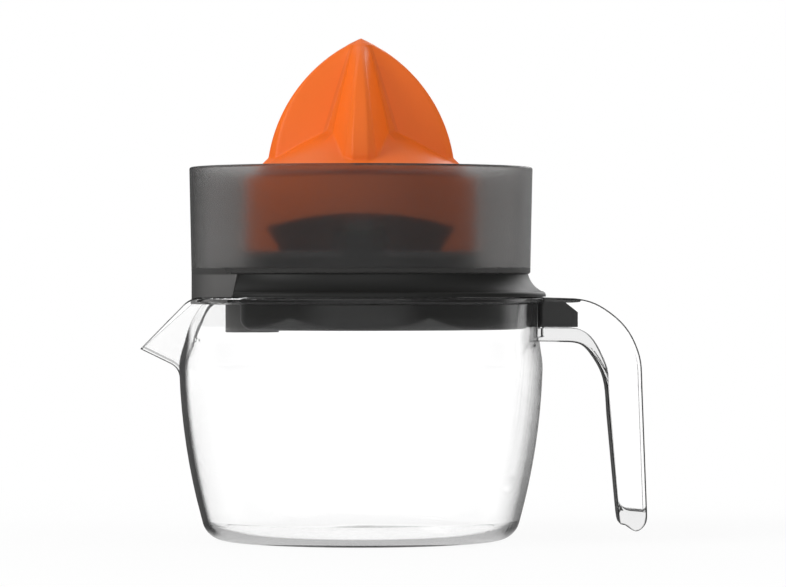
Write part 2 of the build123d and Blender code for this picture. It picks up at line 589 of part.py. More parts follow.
with BuildPart() as shaft_guide:
    with Locations((0, 0, TRAY_FLOOR)):
        Cylinder(GUIDE_R, GUIDE_TOP - TRAY_FLOOR, align=MID)
        with Locations((0, 0, 2.9)):
            Box(6.0, 2 * GUIDE_LUG_Y, 2.0, align=MID)
        with Locations((0, GUIDE_LUG_Y, 2.9), (0, -GUIDE_LUG_Y, 2.9)):
            Cylinder(3.0, 2.0, align=MID)
    with Locations((0, 0, TRAY_FLOOR - 1)):
        Cylinder(GUIDE_BORE_R, SEPTUM_Z - TRAY_FLOOR + 1, align=MID, mode=Mode.SUBTRACT)
    with Locations((0, 0, SEPTUM_TOP)):
        Cylinder(GUIDE_BORE_R, 20, align=MID, mode=Mode.SUBTRACT)
    with Locations((0, 0, SEPTUM_Z - 1)):
        Cylinder(SHAFT_R + RUN, 10, align=MID, mode=Mode.SUBTRACT)
    with Locations((0, GUIDE_LUG_Y, TRAY_FLOOR), (0, -GUIDE_LUG_Y, TRAY_FLOOR)):
        Cylinder(1.15, 10, align=MID, mode=Mode.SUBTRACT)

with BuildPart() as guide_screws:
    with Locations((0, GUIDE_LUG_Y, TRAY_FLOOR + 4.9), (0, -GUIDE_LUG_Y, TRAY_FLOOR + 4.9)):
        Cylinder(2.0, 1.3, align=MID)
    with Locations((0, GUIDE_LUG_Y, TRAY_FLOOR - 0.6), (0, -GUIDE_LUG_Y, TRAY_FLOOR - 0.6)):
        Cylinder(1.0, 5.6, align=MID)

spring_height = COLLAR_LOW - SEPTUM_TOP - SPRING_WIRE - 0.1
with BuildPart() as return_spring:
    with BuildLine():
        start = (0, 0, SEPTUM_TOP + SPRING_WIRE / 2 + 0.05)
        coil = Helix(spring_height / SPRING_TURNS, spring_height, SPRING_MEAN_R, center=start)
    with BuildSketch(Plane(origin=coil @ 0, z_dir=coil % 0)):
        Circle(SPRING_WIRE / 2)
    sweep()
print("return_spring least gap to itself", round(spring_height / SPRING_TURNS - SPRING_WIRE, 2), "mm")

with BuildPart() as switch_body:
    with Locations((0, 0, TRAY_FLOOR)):
        Box(12.6, 5.8, 6.5, align=MID)
    fillet(edges().filter_by(Axis.Z), 0.5)
    with Locations((0, 0, TRAY_FLOOR + 3.6)):
        Cylinder(1.3, 10, align=MID, mode=Mode.SUBTRACT)

with BuildPart() as switch_plunger:
    with Locations((0, 0, 91.0)):
        Cylinder(1.2, 2.7, align=MID)
    fillet(edges().group_by(Axis.Z)[-1], 0.4)

with BuildPart() as roof_bush:
    with Locations((0, 0, 109.1)):
        Cylinder(8.0, ROOF_UNDER - 109.1, align=MID)
        Cylinder(6.3 - 0.02, 4.2, align=MID)
        Cylinder(JOURNAL_R + RUN, 10, align=MID, mode=Mode.SUBTRACT)

with BuildPart() as shaft_seal:
    with BuildSketch(Plane.XZ):
        with BuildLine():
            bore = Line((JOURNAL_R + RUN, 115.6), (JOURNAL_R + RUN, 113.4))
            Polyline(bore @ 1, (6.9, 113.4), (6.9, 114.0), (5.0, 115.6), bore @ 0)
        make_face()
    revolve(axis=Axis.Z)

with BuildPart() as housing_screws:
    with Locations(*[(x, y, TRAY_Z + 0.4) for x, y in HOUSING_SCREWS]):
        Cylinder(2.8, 2.3, align=MID)
    with Locations(*[(x, y, TRAY_FLOOR + 0.4) for x, y in HOUSING_SCREWS]):
        Cylinder(SCREW_R, 12, align=MID)
    with Locations(*[(x, y, TRAY_Z - 0.1) for x, y in HOUSING_SCREWS]):
        Box(3.2, 0.8, 1.4, align=MID, mode=Mode.SUBTRACT)
        Box(0.8, 3.2, 1.4, align=MID, mode=Mode.SUBTRACT)

# Juice bowl with chute and downspout
with BuildPart() as juice_bowl:
    with BuildSketch(Plane.XZ) as bowl_section:
        with BuildLine():
            recess = PLATEAU_R - 2.4
            rim = BOWL_RIM_R - BOWL_WALL
            Polyline((NECK_BORE_R, PLATEAU_UNDER), (recess, PLATEAU_UNDER), (recess, DECK_Z))
            Line((recess, DECK_Z), (BOWL_FOOT_R, DECK_Z))
            Polyline((BOWL_FOOT_R, DECK_Z), (BOWL_RIM_R, BOWL_RIM_Z), (rim, BOWL_RIM_Z))
            Polyline((rim, BOWL_RIM_Z), (BOWL_FOOT_R - BOWL_WALL, TROUGH_Z), (PLATEAU_R, TROUGH_Z))
            Polyline((PLATEAU_R, TROUGH_Z), (PLATEAU_R, PLATEAU_Z), (NECK_R, PLATEAU_Z), (NECK_R, NECK_Z))
            Polyline((NECK_R, NECK_Z), (NECK_BORE_R, NECK_Z), (NECK_BORE_R, PLATEAU_UNDER))
        make_face()
        fillet(bowl_section.vertices().group_by(Axis.Y)[-1], 0.9)
        fillet(bowl_section.vertices().group_by(Axis.X)[-2].sort_by(Axis.Y)[0], 1.0)
    revolve(axis=Axis.Z)
    with BuildSketch(Plane.XY.offset(CHUTE_Z)):
        Circle(BOWL_FOOT_R)
        with Locations((CHUTE_X, 0)):
            Rectangle(60, 160, align=(Align.MAX, Align.CENTER), mode=Mode.INTERSECT)
    extrude(amount=DECK_Z + 1.2 - CHUTE_Z)
    with BuildSketch(Plane.XY.offset(SPOUT_Z)):
        notch_outline(0)
    extrude(amount=DECK_Z + 1.2 - SPOUT_Z)
    with BuildSketch(Plane.XY.offset(DECK_Z + 1)):
        notch_outline(0)
        Circle(PLATEAU_R - 1.4, mode=Mode.INTERSECT)
    extrude(amount=PLATEAU_UNDER - DECK_Z - 0.5)
    with BuildSketch(Plane.XY.offset(CHUTE_Z + BOWL_WALL)):
        Circle(BOWL_FOOT_R - BOWL_WALL)
        with Locations((CHUTE_X - BOWL_WALL, 0)):
            Rectangle(60, 160, align=(Align.MAX, Align.CENTER), mode=Mode.INTERSECT)
    extrude(amount=TROUGH_Z + 0.4 - CHUTE_Z - BOWL_WALL, mode=Mode.SUBTRACT)
    with BuildSketch(Plane.XY.offset(SPOUT_Z - 1)):
        notch_outline(-BOWL_WALL)
    extrude(amount=DECK_Z - 1.5 - SPOUT_Z + 1, mode=Mode.SUBTRACT)
    with Locations((CHUTE_X - 4, 0, CHUTE_Z + BOWL_WALL)):
        window = DECK_Z - 1.5 - CHUTE_Z - BOWL_WALL
        Box(10, SPOUT_DY - 6, window, align=FROM_LEFT, mode=Mode.SUBTRACT)

# Strainer cup
with BuildPart() as strainer:
    with BuildSketch(Plane.XZ):
        with BuildLine():
            inner = CUP_R - CUP_WALL
            bore = BUSH_R + RUN
            Polyline((bore, HUB_LOW), (HUB_R, HUB_LOW), (HUB_R, SIEVE_Z), (inner, SIEVE_Z))
            Polyline((inner, SIEVE_Z), (inner, PLATEAU_Z), (CUP_R, PLATEAU_Z), (CUP_R, CUP_RIM_Z))
            Polyline((CUP_R, CUP_RIM_Z), (inner, CUP_RIM_Z), (inner, SIEVE_TOP), (HUB_R, SIEVE_TOP))
            Polyline((HUB_R, SIEVE_TOP), (HUB_R, HUB_TOP), (bore, HUB_TOP), (bore, HUB_LOW))
        make_face()
    revolve(axis=Axis.Z)
    with BuildSketch(Plane.XY.offset(SIEVE_Z - 0.5)):
        with PolarLocations(SLOT_MID_R, SLOT_COUNT):
            SlotOverall(SLOT_LENGTH, SLOT_WIDTH)
    extrude(amount=SIEVE_TOP - SIEVE_Z + 1, mode=Mode.SUBTRACT)
    with BuildSketch(Plane.XZ.offset(25)):
        with BuildLine():
            crown = ThreePointArc((-ARCH_X, ARCH_SIDE_Z), (0, ARCH_TOP_Z), (ARCH_X, ARCH_SIDE_Z))
            feet = [(ARCH_FOOT_X, PLATEAU_Z - 1), (-ARCH_FOOT_X, PLATEAU_Z - 1)]
            Polyline(crown @ 1, *feet, crown @ 0)
        make_face()
    extrude(amount=30, mode=Mode.SUBTRACT)

# Spindle of the cone
with BuildPart() as spindle_bush:
    with Locations((0, 0, HUB_LOW)):
        Cylinder(BUSH_R, HUB_TOP + PRESS + 0.2 - HUB_LOW, align=MID)
    with Locations((0, 0, HUB_TOP + PRESS + 0.2)):
        Cylinder(HUB_R - 0.4, 1.4, align=MID)
    with Locations((0, 0, HUB_LOW - 1)):
        Cylinder(SPINDLE_R + RUN, 30, align=MID, mode=Mode.SUBTRACT)

with BuildPart() as spindle:
    with Locations((0, 0, SPINDLE_LOW)):
        Cylinder(SPINDLE_R, SPINDLE_SEAT - SPINDLE_LOW - 1, align=MID)
    with Locations((0, 0, HUB_TOP + PRESS + 1.9)):
        Cylinder(HUB_R - 0.6, SPINDLE_SEAT - HUB_TOP - PRESS - 1.9, align=MID)
    with BuildSketch(Plane.XY.offset(SPINDLE_SEAT - 0.5)):
        RegularPolygon(CONE_HEX / 2, 6, major_radius=False)
    extrude(amount=24)
    chamfer(faces().sort_by(Axis.Z)[-1].edges(), 1.0)
    with BuildSketch(Plane.XY.offset(SPINDLE_LOW - 1)):
        RegularPolygon(HEX / 2 + SLIP, 6, major_radius=False)
    extrude(amount=15.5, mode=Mode.SUBTRACT)
    with Locations((0, 0, CLIP_Z)):
        Cylinder(SPINDLE_R + 2, CLIP_GROOVE, align=MID, mode=Mode.SUBTRACT)
        Cylinder(SPINDLE_R - 0.4, CLIP_GROOVE, align=MID)
    with BuildSketch(Plane.XY.offset(SPINDLE_LOW - 1)):
        RegularPolygon(HEX / 2 + SLIP, 6, major_radius=False)
    extrude(amount=15.5, mode=Mode.SUBTRACT)

with BuildPart() as spindle_clip:
    with Locations((0, 0, CLIP_Z + 0.1)):
        Cylinder(SPINDLE_R + 1.3, CLIP_GROOVE - 0.2, align=MID)
        Cylinder(SPINDLE_R - 0.38, CLIP_GROOVE - 0.2, align=MID, mode=Mode.SUBTRACT)
        with Locations((7, 0, 0)):
            Box(8, 3.0, CLIP_GROOVE - 0.2, align=MID, mode=Mode.SUBTRACT)


# Reamer cone
with BuildPart() as valley:
    above, below = CONE_TIP_Z + 2.8, CONE_BASE_Z - 2.4
    with BuildSketch(Plane.XY.offset(above)):
        add(valley_section(above, 0.16, 0.5))
    with BuildSketch(Plane.XY.offset(below)):
        add(valley_section(below, 0.55, 3.0))
    loft(ruled=True)

with BuildPart() as reamer_cone:
    with BuildSketch(Plane.XZ):
        with BuildLine():
            ThreePointArc((0, CONE_TIP_Z), (CONE_MID_R, CONE_MID_Z), (CONE_R, CONE_BASE_Z))
            root = CONE_BASE_Z - 2.8
            Polyline((CONE_R, CONE_BASE_Z), (CONE_R, root), (0, root), (0, CONE_TIP_Z))
        make_face()
    revolve(axis=Axis.Z)
    with PolarLocations(0, 4):
        add(valley.part, mode=Mode.SUBTRACT)
    with BuildSketch(Plane.XZ):
        with BuildLine():
            Polyline((0, RAMP_Z), (RAMP_R, RAMP_Z - RAMP_FALL * RAMP_R), (SKIRT_R, SKIRT_Z))
            Polyline((SKIRT_R, SKIRT_Z), (SKIRT_R, SKIRT_LOW), (0, SKIRT_LOW), (0, RAMP_Z))
        make_face()
    revolve(axis=Axis.Z)
    with BuildSketch(Plane.XZ):
        with BuildLine():
            low = SPINDLE_SEAT - 2
            Polyline((0, low), (SKIRT_R - 1.6, low), (SKIRT_R - 1.6, SKIRT_LOW + 0.5), (HOLLOW_R, HOLLOW_Z))
            Polyline((HOLLOW_R, HOLLOW_Z), (0, RAMP_Z - CONE_WALL), (0, low))
        make_face()
    revolve(axis=Axis.Z, mode=Mode.SUBTRACT)
    with Locations((0, 0, SPINDLE_SEAT)):
        Cylinder(9.0, 26, align=MID)
    with BuildSketch(Plane.XY.offset(SPINDLE_SEAT - 1)):
        RegularPolygon(CONE_HEX / 2 + SLIP, 6, major_radius=False)
    extrude(amount=25.2, mode=Mode.SUBTRACT)

PIECES = {
    "jug": jug,
    "base_tray": base_tray,
    "drive_cover": drive_cover,
    "cord_grommet": cord_grommet,
    "terminal_block": terminal_block,
    "motor_pad": motor_pad,
    "motor_can": motor_can,
    "motor_plate": motor_plate,
    "coil_bobbin": coil_bobbin,
    "coil_winding": coil_winding,
    "pole_ring": pole_ring,
    "lower_bearing": lower_bearing,
    "upper_bearing": upper_bearing,
    "rotor_shaft": rotor_shaft,
    "rotor_hub": rotor_hub,
    "rotor_magnet": rotor_magnet,
    "rotor_pinion": rotor_pinion,
    "motor_screws": motor_screws,
    "output_gear": output_gear,
    "thrust_washer": thrust_washer,
    "drive_shaft": drive_shaft,
    "shaft_guide": shaft_guide,
    "guide_screws": guide_screws,
    "return_spring": return_spring,
    "switch_body": switch_body,
    "switch_plunger": switch_plunger,
    "roof_bush": roof_bush,
    "shaft_seal": shaft_seal,
    "housing_screws": housing_screws,
    "juice_bowl": juice_bowl,
    "strainer": strainer,
    "spindle_bush": spindle_bush,
    "spindle": spindle,
    "spindle_clip": spindle_clip,
    "reamer_cone": reamer_cone,
}

for name, piece in PIECES.items():
    piece.part.label = name
    export_step(piece.part, f"parts/{name}.step")
    print(name, len(piece.part.solids()), "solid", round(piece.part.volume / 1000, 2), "cm3")
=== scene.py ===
"""Looks of a citrus press juicer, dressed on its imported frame.

A clear jug carries a dark motor head. A smoked bowl, an orange strainer and an orange
reamer cone stack on the head. All sizes are in metres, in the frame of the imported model:
the origin is at the centre of the jug's base, +Z is up and the spout points along -X.
"""

import logging
import math
from dataclasses import dataclass
from enum import Enum
from typing import Any, Callable, Dict, List, Optional, Tuple, Union

import bpy
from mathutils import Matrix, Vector

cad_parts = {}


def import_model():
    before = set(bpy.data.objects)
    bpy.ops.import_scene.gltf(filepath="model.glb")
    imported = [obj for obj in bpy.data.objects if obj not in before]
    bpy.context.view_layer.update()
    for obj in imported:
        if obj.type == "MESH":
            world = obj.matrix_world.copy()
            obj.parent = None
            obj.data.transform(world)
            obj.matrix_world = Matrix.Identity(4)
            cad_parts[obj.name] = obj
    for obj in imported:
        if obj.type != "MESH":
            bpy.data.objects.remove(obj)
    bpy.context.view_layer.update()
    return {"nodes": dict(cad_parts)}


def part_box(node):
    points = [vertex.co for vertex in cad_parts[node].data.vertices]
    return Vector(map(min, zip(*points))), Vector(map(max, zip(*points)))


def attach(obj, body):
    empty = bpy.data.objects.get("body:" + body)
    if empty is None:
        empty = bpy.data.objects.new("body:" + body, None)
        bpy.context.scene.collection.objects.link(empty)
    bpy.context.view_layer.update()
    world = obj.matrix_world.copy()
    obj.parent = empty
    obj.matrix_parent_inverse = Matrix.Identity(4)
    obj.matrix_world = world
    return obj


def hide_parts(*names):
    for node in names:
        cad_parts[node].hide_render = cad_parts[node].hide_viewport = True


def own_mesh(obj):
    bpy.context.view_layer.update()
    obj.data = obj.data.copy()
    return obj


LOG = logging.getLogger("juicer")
MM = 0.001
SKIRT_LOW = 146.4 * MM
PLASTIC_IOR = 1.5
WHITE = (1.0, 1.0, 1.0, 1.0)
WELD = 0.002 * MM
SLIVER = 0.001 * MM
CREASE = math.radians(40)

Colour = Tuple[float, float, float]
Point = Tuple[float, float, float]
Span = Tuple[float, float]


class Signal:
    """A shader socket that takes part in Python arithmetic."""

    def __init__(self, graph: "Graph", socket: bpy.types.NodeSocket) -> None:
        """Keeps the socket and the graph that new nodes go into.

        Args:
            graph: The graph that owns the socket.
            socket: An output socket of one of its nodes.
        """
        self.graph = graph
        self.socket = socket

    def _maths(self, operation: str, first: "Value", second: "Value") -> "Signal":
        """Adds a Math node.

        Args:
            operation: The Math node's operation.
            first: Its first value.
            second: Its second value.

        Returns:
            The node's result.
        """
        return self.graph.node("ShaderNodeMath", {"operation": operation}, {0: first, 1: second})

    def __add__(self, other: "Value") -> "Signal":
        """Sum of two values."""
        return self._maths("ADD", self, other)

    __radd__ = __add__

    def __mul__(self, other: "Value") -> "Signal":
        """Product of two values."""
        return self._maths("MULTIPLY", self, other)

    __rmul__ = __mul__

    def __sub__(self, other: "Value") -> "Signal":
        """This value less another."""
        return self._maths("SUBTRACT", self, other)

    def __rsub__(self, other: "Value") -> "Signal":
        """Another value less this one."""
        return self._maths("SUBTRACT", other, self)

    def __truediv__(self, other: "Value") -> "Signal":
        """This value divided by another."""
        return self._maths("DIVIDE", self, other)

    def larger(self, other: "Value") -> "Signal":
        """The larger of two values."""
        return self._maths("MAXIMUM", self, other)

    def smaller(self, other: "Value") -> "Signal":
        """The smaller of two values."""
        return self._maths("MINIMUM", self, other)


Value = Union[Signal, float]


class Graph:
    """The node tree of one material or of the world."""

    def __init__(self, owner: Union[bpy.types.Material, bpy.types.World]) -> None:
        """Starts an empty node tree.

        Args:
            owner: The material or world that the tree belongs to.
        """
        owner.use_nodes = True
        self.tree = owner.node_tree
        self.tree.nodes.clear()

    def node(
        self,
        kind: str,
        settings: Optional[Dict[str, Any]] = None,
        inputs: Optional[Dict[Union[str, int], Any]] = None,
        output: Union[str, int] = 0,
    ) -> Signal:
        """Adds one node, sets it up, then fills or links its sockets.

        Args:
            kind: Blender's name for the node's type.
            settings: Properties of the node.
            inputs: A value or a Signal for each named or numbered socket.
            output: The output socket to return.

        Returns:
            The chosen output, or the node's first one.
        """
        made = self.tree.nodes.new(kind)
        for name, value in (settings or {}).items():
            setattr(made, name, value)
        for name, value in (inputs or {}).items():
            if isinstance(value, Signal):
                self.tree.links.new(value.socket, made.inputs[name])
            else:
                made.inputs[name].default_value = value
        return Signal(self, made.outputs[output] if made.outputs else None)

    def place(self) -> Signal:
        """Object coordinates, in metres."""
        return self.node("ShaderNodeTexCoord", output="Object")

    def part(self, vector: Signal, axis: int) -> Signal:
        """One component of a vector.

        Args:
            vector: The vector.
            axis: 0, 1 or 2 for X, Y or Z.

        Returns:
            The component.
        """
        return self.node("ShaderNodeSeparateXYZ", None, {0: vector}, axis)

    def vector(self, operation: str, inputs: Dict[int, Any], output: str = "Value") -> Signal:
        """Adds a Vector Math node.

        Args:
            operation: The node's operation.
            inputs: Its vectors.
            output: The output socket to return.

        Returns:
            The node's result.
        """
        return self.node("ShaderNodeVectorMath", {"operation": operation}, inputs, output)

    def noise(self, size: float, detail: float = 3.0, roughness: float = 0.5) -> Signal:
        """A cloudy pattern fixed to the object.

        Args:
            size: The size of its clouds in metres.
            detail: How many finer layers it has.
            roughness: How strong those layers are.

        Returns:
            A value about 0.5.
        """
        return self.node(
            "ShaderNodeTexNoise",
            {"noise_dimensions": "3D"},
            {"Vector": self.place(), "Scale": 1.0 / size, "Detail": detail, "Roughness": roughness},
            "Fac",
        )

    def blend(self, mask: Value, first: Colour, second: Colour) -> Signal:
        """Mixes two plain colours by a mask.

        Args:
            mask: 0 gives the first colour and 1 the second.
            first: Linear colour.
            second: Linear colour.

        Returns:
            The mixed colour.
        """
        return self.node(
            "ShaderNodeMix",
            {"data_type": "RGBA"},
            {0: mask, 6: (*first, 1.0), 7: (*second, 1.0)},
            2,
        )

    def step(self, value: Value, low: float, high: float) -> Signal:
        """A smooth step from 0 to 1.

        Args:
            value: What is read.
            low: Where the step leaves 0.
            high: Where it reaches 1.

        Returns:
            The step.
        """
        return self.node(
            "ShaderNodeMapRange",
            {"interpolation_type": "SMOOTHSTEP"},
            {"Value": value, "From Min": low, "From Max": high},
        )

    def bump(self, height: Signal, depth: float, strength: float) -> Signal:
        """A bump that feeds a shader's Normal.

        Args:
            height: The relief, from 0 to 1.
            depth: The relief's depth in metres.
            strength: How much of it shows.

        Returns:
            The bumped normal.
        """
        return self.node(
            "ShaderNodeBump", None, {"Strength": strength, "Distance": depth, "Height": height}
        )

    def finish(self, surface: Signal, volume: Optional[Signal] = None) -> None:
        """Adds the material output.

        Args:
            surface: The surface shader.
            volume: The volume shader, if any.
        """
        inputs: Dict[Union[str, int], Any] = {"Surface": surface}
        if volume is not None:
            inputs["Volume"] = volume
        self.node("ShaderNodeOutputMaterial", None, inputs)


def shade(colour: Colour, factor: float) -> Colour:
    """A colour made lighter or darker.

    Args:
        colour: Linear colour.
        factor: What each channel is multiplied by.

    Returns:
        The new linear colour.
    """
    return tuple(min(1.0, channel * factor) for channel in colour)


@dataclass(frozen=True)
class MouldedPlastic:
    """Opaque injection-moulded plastic with a fine skin and faint flow marks."""

    name: str
    colour: Colour
    gloss: float
    skin: float = 0.35 * MM
    skin_depth: float = 0.012 * MM
    drift: float = 0.06
    glow: float = 0.0
    sheen: float = 0.5
    # painted shade between the cone's fins: its width, darkness, softness and the radii it covers
    valley_half: float = 0.0
    valley_shade: float = 0.9
    valley_soft: float = 0.8
    valley_end: Span = (30 * MM, 36 * MM)
    flow_size: float = 28 * MM
    smear_size: float = 9 * MM
    smear_share: float = 0.10
    skin_share: float = 0.05
    skin_strength: float = 0.35
    glow_colour: Colour = (1.0, 0.35, 0.1)
    glow_reach: float = 2.0 * MM

    def paint_valley_shade(self, graph: Graph, tint: Signal) -> Signal:
        """Darkens the colour with painted shade where two fins meet, on the diagonals of the plan.

        Args:
            graph: The material's graph.
            tint: The colour elsewhere.

        Returns:
            The colour with painted shade in each valley between the fins.
        """
        across = graph.vector("ABSOLUTE", {0: graph.place()}, "Vector")
        beside = graph.part(across, 0)
        behind = graph.part(across, 1)
        apart = (beside - behind).larger(behind - beside) / (beside + behind + 1 * MM)
        valley = 1.0 - graph.step(apart, self.valley_soft * self.valley_half, self.valley_half)
        outside = 1.0 - graph.step(beside + behind, *self.valley_end)
        mix = {"data_type": "RGBA", "blend_type": "MULTIPLY"}
        shaded = (self.valley_shade, self.valley_shade, self.valley_shade, 1.0)
        return graph.node("ShaderNodeMix", mix, {0: valley * outside, 6: tint, 7: shaded}, 2)

    def material(self) -> bpy.types.Material:
        """Builds the material.

        Returns:
            A plastic with uneven gloss, a fine skin, slow drifts of colour and, where valley_half is
            set, painted shade between the cone's fins.
        """
        made = bpy.data.materials.new(self.name)
        graph = Graph(made)
        flow = graph.noise(self.flow_size, 2.0)
        skin = graph.noise(self.skin, 4.0, 0.6)
        smear = graph.noise(self.smear_size, 4.0, 0.65)
        tint = graph.blend(flow, shade(self.colour, 1 - self.drift), shade(self.colour, 1 + self.drift))
        # painted shade: the colour darkens in each valley between the cone's fins
        if self.valley_half:
            tint = self.paint_valley_shade(graph, tint)
        uneven = self.smear_share * (smear - 0.5) + self.skin_share * (skin - 0.5)
        surface = graph.node(
            "ShaderNodeBsdfPrincipled",
            None,
            {
                "Base Color": tint,
                "Roughness": self.gloss + uneven,
                "IOR": PLASTIC_IOR,
                "Specular IOR Level": self.sheen,
                "Subsurface Weight": self.glow,
                "Subsurface Radius": self.glow_colour,
                "Subsurface Scale": self.glow_reach,
                "Normal": graph.bump(skin, self.skin_depth, self.skin_strength),
            },
        )
        graph.finish(surface)
        return made


@dataclass(frozen=True)
class ClearPlastic:
    """See-through plastic: light goes through it, and painted shade darkens its edges."""

    name: str
    tint: Colour
    absorbed: float
    # rim_tint, rim_share, rim_facing, rim_gloss and rim_sheen set the painted edge shade; lit_* fields
    # paint light on the +X side
    rim_tint: Colour
    rim_share: float
    rim_facing: Span
    rim_gloss: float = 0.5
    rim_sheen: float = 0.03
    haze: float = 0.0
    lamp_tint: Colour = (0.99, 0.99, 0.99)
    line_width: float = 0.0
    line_share: float = 0.0
    line_turn: Span = (0.01, 0.18)
    thin_beyond: float = 1.0
    thin_fade: float = 3 * MM
    thin_facing: Span = (0.8, 0.93)
    bend_facing: Span = (0.16, 0.34)
    bend_from: Span = (0.1, 0.3)
    bend_to: Span = (0.93, 0.985)
    lit_share: float = 0.68
    lit_from: Span = (-20 * MM, 50 * MM)
    lit_facing: Span = (0.45, 0.9)
    level: Span = (0.35, 0.75)
    first_face: Span = (0.4, 0.6)
    ripple_size: float = 14 * MM
    ripple_depth: float = 0.02 * MM
    ripple_strength: float = 0.04
    ripple_shade: float = 0.985
    smear_size: float = 6 * MM
    smear_share: float = 0.02

    def painted_edge_shade(self, graph: Graph) -> Signal:
        """How much of the surface is seen edge-on, or lies on a sharp edge.

        Painted shade: upright walls go dark at the first face that is met, less so on the lit side,
        where painted light eases it. The thin handle beyond them goes dark at its outline only, and
        where its walls bend.

        Args:
            graph: The material's graph.

        Returns:
            A mask, 0 on floors and open walls.
        """
        facing = graph.node("ShaderNodeLayerWeight", None, {"Blend": 0.5}, "Facing")
        normal = graph.node("ShaderNodeNewGeometry", output="Normal")
        up = graph.part(normal, 2)
        upright = 1.0 - graph.step(up.larger(0.0 - up), *self.level)
        faces = graph.node("ShaderNodeLightPath", output="Transmission Depth")
        inside = graph.step(faces, *self.first_face)
        side = graph.part(graph.place(), 0)
        # painted light: the edge shade is weaker on the +X side, where the lamps' light is taken to
        # fall
        lit = graph.step(side, *self.lit_from)
        wall = graph.step(facing, *self.rim_facing) * (1.0 - lit)
        wall = wall + lit * self.lit_share * graph.step(facing, *self.lit_facing)
        wall = wall * upright * (1.0 - inside)
        thin = graph.step(side, self.thin_beyond, self.thin_beyond + self.thin_fade)
        across = graph.part(normal, 1)
        across = across.larger(0.0 - across)
        bend = graph.step(across, *self.bend_from) * (1.0 - graph.step(across, *self.bend_to))
        bend = bend * graph.step(facing, *self.bend_facing)
        outline = graph.step(facing, *self.thin_facing).larger(bend)
        mask = (wall + thin * (outline - wall)) * self.rim_share
        # painted shade: dark lines drawn along rounded edges, found with the Bevel node
        if self.line_width > 0:
            rounded = graph.node("ShaderNodeBevel", {"samples": 6}, {"Radius": self.line_width})
            likeness = graph.vector("DOT_PRODUCT", {0: rounded, 1: normal})
            mask = mask.larger(graph.step(1.0 - likeness, *self.line_turn) * self.line_share)
        return mask

    def skin(self, graph: Graph) -> Signal:
        """The plastic as it is away from its edges.

        Args:
            graph: The material's graph.

        Returns:
            A glassy shader with a faint ripple.
        """
        ripple = graph.noise(self.ripple_size, 2.0)
        smear = graph.noise(self.smear_size, 3.0, 0.6)
        return graph.node(
            "ShaderNodeBsdfPrincipled",
            None,
            {
                "Base Color": graph.blend(ripple, shade(self.tint, self.ripple_shade), self.tint),
                "Roughness": self.haze + self.smear_share * smear,
                "IOR": PLASTIC_IOR,
                "Transmission Weight": 1.0,
                "Normal": graph.bump(ripple, self.ripple_depth, self.ripple_strength),
            },
        )

    def material(self) -> bpy.types.Material:
        """Builds the material.

        Returns:
            A glassy shader that lets lamps through, with an absorbing body.
        """
        made = bpy.data.materials.new(self.name)
        graph = Graph(made)
        # painted shade: a dark, dull shader mixed in at the edges by the mask
        painted_edge_shade = graph.node(
            "ShaderNodeBsdfPrincipled",
            None,
            {
                "Base Color": (*self.rim_tint, 1.0),
                "Roughness": self.rim_gloss,
                "Specular IOR Level": self.rim_sheen,
            },
        )
        dressed = graph.node(
            "ShaderNodeMixShader", None, {0: self.painted_edge_shade(graph), 1: self.skin(graph), 2: painted_edge_shade}
        )
        lamp = graph.node("ShaderNodeLightPath", output="Is Shadow Ray")
        clear = graph.node("ShaderNodeBsdfTransparent", None, {"Color": (*self.lamp_tint, 1.0)})
        surface = graph.node("ShaderNodeMixShader", None, {0: lamp, 1: dressed, 2: clear})
        body = None
        if self.absorbed > 0:
            body = graph.node(
                "ShaderNodeVolumeAbsorption",
                None,
                {"Color": (0.0, 0.0, 0.0, 1.0), "Density": self.absorbed},
            )
        graph.finish(surface, body)
        return made


@dataclass(frozen=True)
class SmokedPlastic(ClearPlastic):
    """Tinted, frosted plastic whose chute has a matt skin."""

    matt: Colour = (0.125, 0.123, 0.121)
    matt_share: float = 0.75
    frost_share: float = 0.06
    matt_below: float = 105.8 * MM
    matt_fade: float = 0.4 * MM
    matt_gloss: float = 0.55
    matt_sheen: float = 0.3
    matt_drift: float = 0.06
    mottle_size: float = 4 * MM
    mottle_share: float = 0.1
    floor_top: float = 108.3 * MM
    floor_fade: float = 0.3 * MM
    floor_gloss: float = 0.4
    floor_tint: Colour = (0.035, 0.034, 0.033)
    floor_share: float = 0.7

    def skin(self, graph: Graph) -> Signal:
        """The frosted wall, with the matt skin mixed in on the chute.

        Args:
            graph: The material's graph.

        Returns:
            A hazy shader above the chute, a duller one on it.
        """
        wall = super().skin(graph)
        height = graph.part(graph.place(), 2)
        fade = self.matt_fade
        chute = 1.0 - graph.step(height, self.matt_below - fade, self.matt_below + fade)
        fade = self.floor_fade
        floor = 1.0 - graph.step(height, self.floor_top - fade, self.floor_top + fade)
        mottle = graph.noise(self.mottle_size, 3.0)
        pale, deep = shade(self.matt, 1 + self.matt_drift), shade(self.matt, 1 - self.matt_drift)
        dull = graph.node(
            "ShaderNodeBsdfPrincipled",
            None,
            {
                "Base Color": graph.blend(mottle, deep, pale),
                "Roughness": self.matt_gloss + self.mottle_share * mottle,
                "Specular IOR Level": self.matt_sheen,
            },
        )
        solid = graph.node(
            "ShaderNodeBsdfPrincipled",
            None,
            {
                "Base Color": (*self.floor_tint, 1.0),
                "Roughness": self.floor_gloss + self.mottle_share * mottle,
                "Specular IOR Level": self.matt_sheen,
            },
        )
        edge = graph.node("ShaderNodeMixShader", None, {0: floor * self.floor_share, 1: wall, 2: solid})
        share = self.frost_share + (self.matt_share - self.frost_share) * chute
        return graph.node("ShaderNodeMixShader", None, {0: share, 1: edge, 2: dull})


